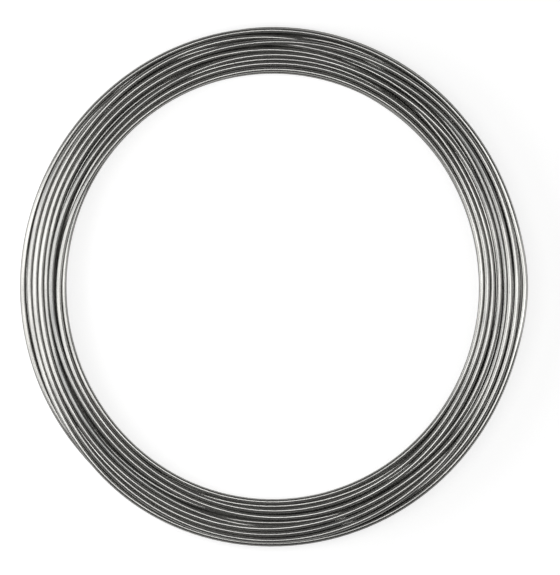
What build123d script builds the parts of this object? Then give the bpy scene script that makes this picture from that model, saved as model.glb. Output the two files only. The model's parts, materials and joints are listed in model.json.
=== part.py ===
from build123d import *
import os

os.makedirs("parts", exist_ok=True)

# All sizes are in millimetres. The coil lies flat, with its axis on Z and its underside at Z = 0.
wire_diameter = 2.0
# The clear opening, inside the innermost turns of the widest rows.
bore_radius = 73.0
# Free space between neighbouring turns of one row.
side_gap = 0.05
# How far each row sinks into the furrows of the row below.
nesting = 0.1
# From the crest of an outer turn down to the furrow beside it.
furrow_depth = 1.0
# Lowest row first. Each row has a turn more or less than the last, so that it lies in its furrows.
turns_per_row = [6, 7, 8, 7, 6, 7, 8]

turn_pitch = wire_diameter + side_gap
row_rise = wire_diameter - nesting
wire_radius = wire_diameter / 2
widest_row = max(turns_per_row)
bundle_width = widest_row * turn_pitch
bundle_radius = bore_radius + bundle_width / 2

# A turn and its share of the gaps round it are one six-sided cell, and the cells tile the bundle.
shoulder = (row_rise - furrow_depth) / 2
crest = shoulder + furrow_depth
cell_corners = [
    (0, crest),
    (-turn_pitch / 2, shoulder),
    (-turn_pitch / 2, -shoulder),
    (0, -crest),
    (turn_pitch / 2, -shoulder),
    (turn_pitch / 2, shoulder),
]


def turn_centre(row, turn):
    off_centre = turn - (turns_per_row[row] - 1) / 2
    return (bundle_radius + off_centre * turn_pitch, wire_radius + row * row_rise)


with BuildPart() as wire_coil:
    with BuildSketch(Plane.XZ):
        for row, turns in enumerate(turns_per_row):
            with Locations(*[turn_centre(row, turn) for turn in range(turns)]):
                Polygon(*cell_corners, align=None)
        # The lowest crests are cut level at the underside of the wire, which the coil rests on.
        with Locations((bundle_radius, 0)):
            Rectangle(bundle_width, crest, align=(Align.CENTER, Align.MAX), mode=Mode.SUBTRACT)
    revolve(axis=Axis.Z)
wire_coil.part.label = "wire_coil"

export_step(wire_coil.part, "parts/wire_coil.step")
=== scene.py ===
import json
import math

import bpy
import numpy as np
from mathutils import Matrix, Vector


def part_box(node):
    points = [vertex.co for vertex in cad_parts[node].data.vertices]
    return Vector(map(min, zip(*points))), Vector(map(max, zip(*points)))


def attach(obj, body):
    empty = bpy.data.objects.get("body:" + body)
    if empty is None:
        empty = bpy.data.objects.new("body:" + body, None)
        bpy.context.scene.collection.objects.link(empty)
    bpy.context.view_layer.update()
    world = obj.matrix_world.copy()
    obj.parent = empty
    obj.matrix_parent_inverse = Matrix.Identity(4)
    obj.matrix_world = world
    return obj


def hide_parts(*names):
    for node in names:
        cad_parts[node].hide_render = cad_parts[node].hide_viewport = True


# Coil of galvanized steel wire, lying flat. Everything is in metres.
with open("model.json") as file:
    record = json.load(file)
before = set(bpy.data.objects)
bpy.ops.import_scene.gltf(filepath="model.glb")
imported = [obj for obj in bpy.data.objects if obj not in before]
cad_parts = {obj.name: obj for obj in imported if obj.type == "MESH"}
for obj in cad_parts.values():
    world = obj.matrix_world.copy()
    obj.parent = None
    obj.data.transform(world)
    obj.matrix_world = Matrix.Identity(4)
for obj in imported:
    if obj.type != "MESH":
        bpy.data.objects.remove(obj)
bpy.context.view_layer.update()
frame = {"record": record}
coilLow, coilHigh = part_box("wire_coil")
boreRadius = frame["record"]["mounts"][0]["dims"]["r_mm"] / 1000
bundleWidth = coilHigh[0] - boreRadius
bundleRadius = boreRadius + bundleWidth / 2
print("frame loaded: bundle", round(bundleWidth, 4), "wide at radius", round(bundleRadius, 4))


def addNode(tree, kind, settings=None, inputs=None, links=None):
    node = tree.nodes.new(kind)
    for name, value in (settings or {}).items():
        setattr(node, name, value)
    for name, value in (inputs or {}).items():
        node.inputs[name].default_value = value
    for name, socket in (links or {}).items():
        tree.links.new(socket, node.inputs[name])
    return node


def linearColour(hexCode):
    # sRGB hex to the linear values that the shaders take
    parts = [int(hexCode[i:i + 2], 16) / 255 for i in (1, 3, 5)]
    return [c / 12.92 if c <= 0.04045 else ((c + 0.055) / 1.055) ** 2.4 for c in parts] + [1.0]


# The wire's path: slots in the bundle, a loose wander, then turns that push each other clear.
# "Across" runs outwards from the middle of the bundle, "up" from the floor.

coiledWire = {
    "diameter": 0.0020,
    "turnsPerRow": [6, 7, 8, 7, 6, 7, 8],  # lowest row first
    "seed": 12,
    # how far the wire wanders across and up, and over what share of a turn it is evened out
    "wanders": ((0.0026, 0.0014, 0.35), (0.0003, 0.0002, 0.12)),
    # where the upper turns part: first and last azimuth, across at each, and width of the gap
    "partings": (
        (156, 116, -0.0021, -0.0019, 0.0006),
        (184, 150, 0.0061, 0.0062, 0.0006),
        (34, -4, -0.0021, -0.0021, 0.0005),
        (28, -4, 0.0041, 0.0041, 0.0005),
    ),
    "undercut": 0.0012,  # how far the bundle's walls lean in, from its top down to the floor
    "outOfRound": 0.0155,  # a loose coil lies a little longer than wide
    "bulge": (0.0009, 8),  # how far the outermost turn stands out on the right, and degrees each way
    "stationsPerTurn": 64,  # points of the path, which are pushed about
    "ringsPerTurn": 150,  # rings of the finished mesh
    "sides": 12,  # of each ring
    "sharpAngle": 50,  # degrees, so that only the rims of the cut ends are sharp
}


def eased(share):
    return share * share * (3 - 2 * share)


def stationAngles(count):
    # the wire starts and ends at the near side
    return 2 * np.pi * (np.arange(count) / coiledWire["stationsPerTurn"]) - np.pi / 2


def degreesFromRight(angles):
    return np.abs((np.degrees(angles) + 180) % 360 - 180)


def partingsAt(angles):
    # across and half width of each gap at every station, the same above and below the middle;
    # each end is a wedge that starts a little before it and is full a little inside
    before, inside = 0.10, 0.15  # of the parting's length
    found = []
    for first, last, acrossFirst, acrossLast, width in coiledWire["partings"]:
        share = (degreesFromRight(angles) - first) / (last - first)
        opened = np.clip((np.minimum(share, 1 - share) + before) / (before + inside), 0, 1)
        across = acrossFirst + (acrossLast - acrossFirst) * np.clip(share, 0, 1)
        found.append((across, width / 2 * eased(opened)))
    return found


def spreadAlong(values, sigma):
    # a Gaussian blur along the whole wire, sigma in stations, mirrored at its ends
    pad = 2 * coiledWire["stationsPerTurn"]
    longer = np.concatenate([values[pad:0:-1], values, values[-2:-pad - 2:-1]])
    waves = np.fft.rfftfreq(len(longer))[:, None]
    blurred = np.fft.rfft(longer, axis=0) * np.exp(-2 * (np.pi * sigma * waves) ** 2)
    return np.fft.irfft(blurred, len(longer), axis=0)[pad:pad + len(values)]


def slotsInWindingOrder():
    # up one column of the section and down the next; the walls' slots join their neighbours, so
    # that the wire starts and ends low inside the bundle
    rows, thick = coiledWire["turnsPerRow"], coiledWire["diameter"]
    widest = max(rows)
    pitch = bundleWidth / widest
    rise = (coilHigh[2] - coilLow[2] - thick) / (len(rows) - 1)
    columns = [[] for _ in range(widest - 2)]
    for row, turns in enumerate(rows):
        for turn in range(turns):
            across = turn - (turns - 1) / 2
            column = min(max(int(across + widest / 2) - 1, 0), widest - 3)
            columns[column].append((across * pitch, thick / 2 + row * rise))
    slots = []
    for number, column in enumerate(columns):
        slots += sorted(column, key=lambda slot: slot[1], reverse=number % 2 == 1)
    return np.array(slots)


def looseTurns(slots):
    # home is each station's place in the slots, with a smooth climb from one slot to the next
    perTurn = coiledWire["stationsPerTurn"]
    count = len(slots) * perTurn
    place = np.arange(count) / perTurn
    here = np.minimum(place.astype(int), len(slots) - 1)
    after = np.minimum(here + 1, len(slots) - 1)
    climbed = eased(place - here)[:, None]
    home = slots[here] * (1 - climbed) + slots[after] * climbed

    path = home.copy()
    random = np.random.default_rng(coiledWire["seed"])
    for across, up, evened in coiledWire["wanders"]:
        wander = spreadAlong(random.normal(size=(count, 2)), evened * perTurn)
        path = path + wander / wander.std(0) * (across, up)
    return here, home, path


def pushApart(path, turns, grown):
    # how far the turns that overlap push each station, and how deep the deepest overlap is
    section = path.reshape(turns, -1, 2).transpose(1, 0, 2)
    apart = section[:, :, None, :] - section[:, None, :, :]
    distance = (apart ** 2).sum(-1)
    itself = np.arange(turns)
    distance[:, itself, itself] = 1.0
    distance = np.sqrt(distance)
    overlap = np.clip(grown - distance, 0, None)
    push = ((overlap / np.maximum(distance, 1e-9))[..., None] * apart).sum(2)
    return push.transpose(1, 0, 2).reshape(len(path), 2), overlap.max()


def settledTurns():
    # across and up for every station of the wire, with no turn inside another
    thick, perTurn = coiledWire["diameter"], coiledWire["stationsPerTurn"]
    slots = slotsInWindingOrder()
    turns = len(slots)
    here, home, path = looseTurns(slots)
    partings = partingsAt(stationAngles(len(path)))

    steps, stepLength = 900, 0.55  # how much of a push is made in one step
    smallest, fullBy, clearance = 0.45, 0.7, 1.005  # the wire grows to full size as it settles
    stiffFirst, stiffLast = 30, 20  # degrees that a push spreads along the wire
    weight, weightFades = 0.005, 0.8  # in diameters a step, and the share gone by the last one
    memory, memoryFades = 0.007, 0.9  # how strongly the wire keeps to the way it was wound
    wallPush, floorPush, ceilingPush, partingPush = 0.7, 0.9, 0.5, 0.3  # of the way back
    topRow = 1.1  # diameters down from the ceiling that count as the top row
    ceiling = coilHigh[2] - thick / 2
    wall = bundleWidth / 2 - thick * 0.45  # lets a turn stand out by a twentieth of its diameter

    for step in range(steps):
        done = step / steps
        grown = thick * min(1.0, smallest + (1 - smallest) * done / fullBy) * clearance
        push, deepest = pushApart(path, turns, grown)
        push[:, 1] -= weight * thick * (1 - weightFades * done)
        push -= memory * (path - home) * (1 - memoryFades * done)

        across, up = path[:, 0], path[:, 1]
        reach = wall - coiledWire["undercut"] * np.clip(1 - up / ceiling, 0, 1)
        pastWall = np.clip(across - reach, 0, None) + np.clip(across + reach, None, 0)
        push[:, 0] -= wallPush * pastWall
        push[:, 1] += floorPush * np.clip(thick / 2 - up, 0, None)

        # only the top row parts, and a turn keeps to one side of a parting for all of its length
        top = np.clip((up - ceiling) / thick + topRow, 0, 1)
        for middle, half in partings:
            aside = across - middle
            side = np.sign(np.bincount(here, aside * half * top, turns))[here]
            room = np.clip(half + thick / 2 - side * aside, 0, None) * (half > 0)
            push[:, 0] += partingPush * side * room * top
        push[:, 1] -= ceilingPush * np.clip(up - ceiling, 0, None)  # pressed level in the winder

        stiffness = (stiffFirst + (stiffLast - stiffFirst) * done) / 360 * perTurn
        path = path + stepLength * spreadAlong(push, stiffness)
    print("turns settled: deepest overlap", round(deepest * 1000, 3), "mm")
    return path


def wirePoints():
    path = settledTurns()
    thick, perTurn = coiledWire["diameter"], coiledWire["stationsPerTurn"]
    angle = stationAngles(len(path))

    # the turn that lies furthest out on the right stands out a little more there
    atRight = np.arange(perTurn // 4, len(path), perTurn)
    outermost = atRight[np.argmax(path[atRight, 0])]
    sameTurn = np.abs(np.arange(len(path)) - outermost) < perTurn / 2
    standsOut, over = coiledWire["bulge"]
    path[:, 0] += sameTurn * standsOut * np.exp(-((degreesFromRight(angle) / over) ** 2) / 2)

    radius = (bundleRadius + path[:, 0]) * (1 - coiledWire["outOfRound"] * np.cos(2 * angle))
    height = path[:, 1] - path[:, 1].min() + thick / 2
    points = np.stack([radius * np.cos(angle), radius * np.sin(angle), height], 1)
    length = np.linalg.norm(np.diff(points, axis=0), axis=1).sum()
    top = (height.max() + thick / 2) * 1000
    print("wire laid:", round(length, 2), "m, top at", round(top, 1), "mm")
    return points


# The tree that turns the path into round wire
def wireTree():
    tree = bpy.data.node_groups.new("roundWireOnPath", "GeometryNodeTree")
    for name, kind in (
        ("path", "NodeSocketGeometry"),
        ("diameter", "NodeSocketFloat"),
        ("rings", "NodeSocketInt"),
        ("sides", "NodeSocketInt"),
        ("finish", "NodeSocketMaterial"),
    ):
        tree.interface.new_socket(name, in_out="INPUT", socket_type=kind)
    tree.interface.new_socket("wire", in_out="OUTPUT", socket_type="NodeSocketGeometry")
    given = addNode(tree, "NodeGroupInput").outputs

    # a smooth curve through the stations, with rings at even steps along it
    curve = addNode(tree, "GeometryNodeMeshToCurve", links={"Mesh": given["path"]})
    smooth = addNode(
        tree,
        "GeometryNodeCurveSplineType",
        {"spline_type": "CATMULL_ROM"},
        links={"Curve": curve.outputs["Curve"]},
    )
    rings = addNode(
        tree,
        "GeometryNodeResampleCurve",
        {"mode": "COUNT"},
        links={"Curve": smooth.outputs["Curve"], "Count": given["rings"]},
    )
    along = addNode(tree, "GeometryNodeSplineParameter")
    path = addNode(tree, "GeometryNodeCaptureAttribute", {"domain": "POINT"})
    path.capture_items.new("FLOAT", "along")
    tree.links.new(rings.outputs["Curve"], path.inputs["Geometry"])
    tree.links.new(along.outputs["Length"], path.inputs["along"])

    # the round section of the wire
    radius = addNode(
        tree,
        "ShaderNodeMath",
        {"operation": "MULTIPLY"},
        {1: 0.5},
        {0: given["diameter"]},
    )
    circle = addNode(
        tree,
        "GeometryNodeCurvePrimitiveCircle",
        {"mode": "RADIUS"},
        links={"Resolution": given["sides"], "Radius": radius.outputs[0]},
    )
    profile = addNode(tree, "GeometryNodeCaptureAttribute", {"domain": "POINT"})
    profile.capture_items.new("VECTOR", "round")
    tree.links.new(circle.outputs["Curve"], profile.inputs["Geometry"])
    tree.links.new(addNode(tree, "GeometryNodeInputPosition").outputs[0], profile.inputs["round"])
    tube = addNode(
        tree,
        "GeometryNodeCurveToMesh",
        inputs={"Fill Caps": True},
        links={"Curve": path.outputs["Geometry"], "Profile Curve": profile.outputs["Geometry"]},
    )

    # round the wire in X and Y and along it in Z, in metres, for the finish to follow
    parts = addNode(tree, "ShaderNodeSeparateXYZ", links={0: profile.outputs["round"]})
    place = addNode(
        tree,
        "ShaderNodeCombineXYZ",
        links={"X": parts.outputs["X"], "Y": parts.outputs["Y"], "Z": path.outputs["along"]},
    )
    stored = addNode(
        tree,
        "GeometryNodeStoreNamedAttribute",
        {"data_type": "FLOAT_VECTOR", "domain": "POINT"},
        {"Name": "wirePlace"},
        {"Geometry": tube.outputs["Mesh"], "Value": place.outputs["Vector"]},
    )
    shaded = addNode(
        tree, "GeometryNodeSetShadeSmooth", links={"Geometry": stored.outputs["Geometry"]}
    )
    real = addNode(
        tree, "GeometryNodeRealizeInstances", links={"Geometry": shaded.outputs["Geometry"]}
    )
    finished = addNode(
        tree,
        "GeometryNodeSetMaterial",
        links={"Geometry": real.outputs["Geometry"], "Material": given["finish"]},
    )
    out = addNode(tree, "NodeGroupOutput")
    tree.links.new(finished.outputs["Geometry"], out.inputs["wire"])
    return tree


def makeWire(finish):
    points = wirePoints()
    line = bpy.data.meshes.new("wirePath")
    line.from_pydata(points.tolist(), [(i, i + 1) for i in range(len(points) - 1)], [])
    path = bpy.data.objects.new("wirePath", line)
    bpy.context.collection.objects.link(path)
    tree = wireTree()
    modifier = path.modifiers.new("wire", "NODES")
    modifier.node_group = tree
    values = {
        "diameter": coiledWire["diameter"],
        "rings": coiledWire["ringsPerTurn"] * sum(coiledWire["turnsPerRow"]),
        "sides": coiledWire["sides"],
        "finish": finish,
    }
    for socket in tree.interface.items_tree:
        if socket.in_out == "INPUT" and socket.name in values:
            modifier[socket.identifier] = values[socket.name]
    evaluated = path.evaluated_get(bpy.context.evaluated_depsgraph_get())
    mesh = bpy.data.meshes.new_from_object(evaluated)
    mesh.name = "steelWire"
    mesh.set_sharp_from_angle(angle=math.radians(coiledWire["sharpAngle"]))
    wire = bpy.data.objects.new("steelWire", mesh)
    bpy.context.collection.objects.link(wire)
    bpy.data.objects.remove(path)
    print("wire made:", len(mesh.polygons), "faces")
    return wire


# Galvanized steel: drawn wire with a bright zinc coat, so mirror-like along its crest, with fine
# lengthwise lines from the drawing die and faint cloudy patches where the zinc has dulled

zincFinish = {
    # where each colour lies on the pattern of shine, 0 to 1
    "dull": (0.34, "#838483"),
    "middle": (0.50, "#a7a6a3"),
    "bright": (0.66, "#bcbcb9"),
    "metallic": 0.86,  # the rest is a thin dull film on the zinc
    "roughness": (0.30, 0.12),  # where dull and where bright
    "roughnessReach": (0.35, 0.65),  # where each of the two lies on the pattern of shine
    "paintedEdgeShade": 0.05,  # painted shade: a near-black edge tint darkens what the metal reflects at a glancing view, so the wire's edges come out dark, in place of the die's grooves shading one another
    # each pattern's size across the wire and along it, its detail and its roughness
    "stretches": (0.18, 0.18, 2.0, 0.5),  # bright and dull lengths, as it left the zinc bath
    "patches": (0.0015, 0.014, 3.0, 0.55),  # clouds of 1.5 mm by 14 mm, as zinc dulls in the air
    # a die leaves lines of some 0.03 mm, too fine to show here, so they are drawn 0.25 mm wide
    "dieLines": (0.00025, 0.030, 2.0, 0.5),
    "patchShare": 0.3,  # how much of the shine follows the patches, the rest follows the stretches
    "lineDepth": 0.00003,
    "lineStrength": 0.15,
}


def galvanizedSteel():
    material = bpy.data.materials.new("galvanizedSteel")
    material.use_nodes = True
    tree = material.node_tree
    tree.nodes.clear()
    place = addNode(tree, "ShaderNodeAttribute", {"attribute_name": "wirePlace"}).outputs["Vector"]
    pattern = {}
    for name in ("patches", "dieLines", "stretches"):
        across, along, detail, rough = zincFinish[name]
        scaled = addNode(
            tree,
            "ShaderNodeMapping",
            inputs={"Scale": (1 / across, 1 / across, 1 / along)},
            links={"Vector": place},
        )
        noise = addNode(
            tree,
            "ShaderNodeTexNoise",
            inputs={"Scale": 1.0, "Detail": detail, "Roughness": rough},
            links={"Vector": scaled.outputs[0]},
        )
        pattern[name] = noise.outputs[0]
    shine = addNode(
        tree,
        "ShaderNodeMix",
        inputs={"Factor": zincFinish["patchShare"]},
        links={"A": pattern["stretches"], "B": pattern["patches"]},
    )

    tint = addNode(tree, "ShaderNodeValToRGB", links={"Fac": shine.outputs[0]})
    stops = tint.color_ramp.elements
    for stop, name in zip(stops, ("dull", "bright")):
        stop.position, colour = zincFinish[name]
        stop.color = linearColour(colour)
    position, colour = zincFinish["middle"]
    stops.new(position).color = linearColour(colour)

    dull, bright = zincFinish["roughness"]
    dullAt, brightAt = zincFinish["roughnessReach"]
    rough = addNode(
        tree,
        "ShaderNodeMapRange",
        inputs={"From Min": dullAt, "From Max": brightAt, "To Min": dull, "To Max": bright},
        links={"Value": shine.outputs[0]},
    )
    bump = addNode(
        tree,
        "ShaderNodeBump",
        inputs={"Strength": zincFinish["lineStrength"], "Distance": zincFinish["lineDepth"]},
        links={"Height": pattern["dieLines"]},
    )
    # painted shade: the near-black edge tint darkens the metal's reflection at a glancing view,
    # along the wire's edges
    paintedEdgeColour = [zincFinish["paintedEdgeShade"]] * 3 + [1.0]
    shader = addNode(
        tree,
        "ShaderNodeBsdfPrincipled",
        inputs={"Metallic": zincFinish["metallic"], "Specular Tint": paintedEdgeColour},
        links={
            "Base Color": tint.outputs["Color"],
            "Roughness": rough.outputs["Result"],
            "Normal": bump.outputs["Normal"],
        },
    )
    addNode(tree, "ShaderNodeOutputMaterial", links={"Surface": shader.outputs[0]})
    return material


# Pale floor, soft light and a camera that looks straight down

studio = {
    "floorSize": 20.0,
    "floorColour": "#cccccc",
    "floorGlow": 0.69,  # brings the floor up to white where a lens or a reflection sees it
    "worldLevel": 0.07,
    # radiance, centre, size along its own X and Y, and the point that it faces
    "overhead": (2.2, (0.12, 0.0, 1.0), (1.34, 0.37), (0.12, 0.0, 0.0)),
    "rightBox": (0.7, (1.5, 0.0, 0.55), (1.2, 0.8), (0.0, 0.0, 0.0)),
    "leftBox": (1.8, (-0.28, 0.0, 0.15), (0.30, 0.28), (-0.08, 0.0, 0.0)),
}

view = {
    "frame": (560, 575),  # the picture's pixels, across and down
    "ringPixels": 504.0,  # the ring's width in the picture
    "ringCentre": (272.6, 286.5),  # from the picture's upper left corner
    "distance": 2.2,
    "sensor": 36.0,  # millimetres
}


def makeFloor():
    half = studio["floorSize"] / 2
    mesh = bpy.data.meshes.new("paleFloor")
    corners = [(-half, -half, 0), (half, -half, 0), (half, half, 0), (-half, half, 0)]
    mesh.from_pydata(corners, [], [(0, 1, 2, 3)])
    floor = bpy.data.objects.new("paleFloor", mesh)
    bpy.context.collection.objects.link(floor)

    # matt paper: even and without shine, so that the coil's soft shadow is all that shows on it
    material = bpy.data.materials.new("mattPaper")
    material.use_nodes = True
    tree = material.node_tree
    tree.nodes.clear()
    paper = addNode(
        tree, "ShaderNodeBsdfDiffuse", inputs={"Color": linearColour(studio["floorColour"])}
    )
    ray = addNode(tree, "ShaderNodeLightPath").outputs
    seen = ray["Is Camera Ray"]
    for kind in ("Is Glossy Ray", "Is Transmission Ray"):
        either = addNode(
            tree, "ShaderNodeMath", {"operation": "MAXIMUM"}, links={0: seen, 1: ray[kind]}
        )
        seen = either.outputs[0]
    glow = addNode(
        tree,
        "ShaderNodeMath",
        {"operation": "MULTIPLY"},
        {1: studio["floorGlow"]},
        {0: seen},
    )
    emission = addNode(tree, "ShaderNodeEmission", links={"Strength": glow.outputs[0]})
    both = addNode(
        tree,
        "ShaderNodeAddShader",
        links={0: paper.outputs[0], 1: emission.outputs[0]},
    )
    addNode(tree, "ShaderNodeOutputMaterial", links={"Surface": both.outputs[0]})
    mesh.materials.append(material)


def lightStudio():
    world = bpy.data.worlds.new("dimStudio")
    world.use_nodes = True
    background = world.node_tree.nodes["Background"].inputs
    background["Color"].default_value = (1, 1, 1, 1)
    background["Strength"].default_value = studio["worldLevel"]
    bpy.context.scene.world = world
    for name in ("overhead", "rightBox", "leftBox"):
        radiance, centre, size, target = studio[name]
        lamp = bpy.data.lights.new(name, "AREA")
        lamp.shape = "RECTANGLE"
        lamp.size, lamp.size_y = size
        lamp.energy = 4 * radiance * size[0] * size[1]  # the watts that give that radiance
        box = bpy.data.objects.new(name, lamp)
        box.location = centre
        # a lamp looks down its own -Z, and its Y stays level with the room's Y
        aim = Vector(target) - Vector(centre)
        box.rotation_euler = (0, math.atan2(-aim.x, -aim.z), 0)
        bpy.context.collection.objects.link(box)


def setCamera():
    ringWidth = 2 * coilHigh[0] * (1 - coiledWire["outOfRound"])
    perPixel = ringWidth / view["ringPixels"]
    across, down = view["frame"]
    data = bpy.data.cameras.new("camera")
    data.sensor_width = view["sensor"]
    # the sensor's width spans the picture's longer side
    data.lens = view["distance"] * view["sensor"] / (down * perPixel)
    camera = bpy.data.objects.new("camera", data)
    x = (across / 2 - view["ringCentre"][0]) * perPixel
    y = (view["ringCentre"][1] - down / 2) * perPixel
    camera.location = (x, y, view["distance"] + coilHigh[2] / 2)
    bpy.context.collection.objects.link(camera)
    bpy.context.scene.camera = camera


setCamera()
wire = makeWire(galvanizedSteel())
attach(wire, "root")
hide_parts("wire_coil")
makeFloor()
lightStudio()
print("floor, lights and camera set")
bpy.context.scene.view_settings.view_transform = "Standard"
print("scene ready")
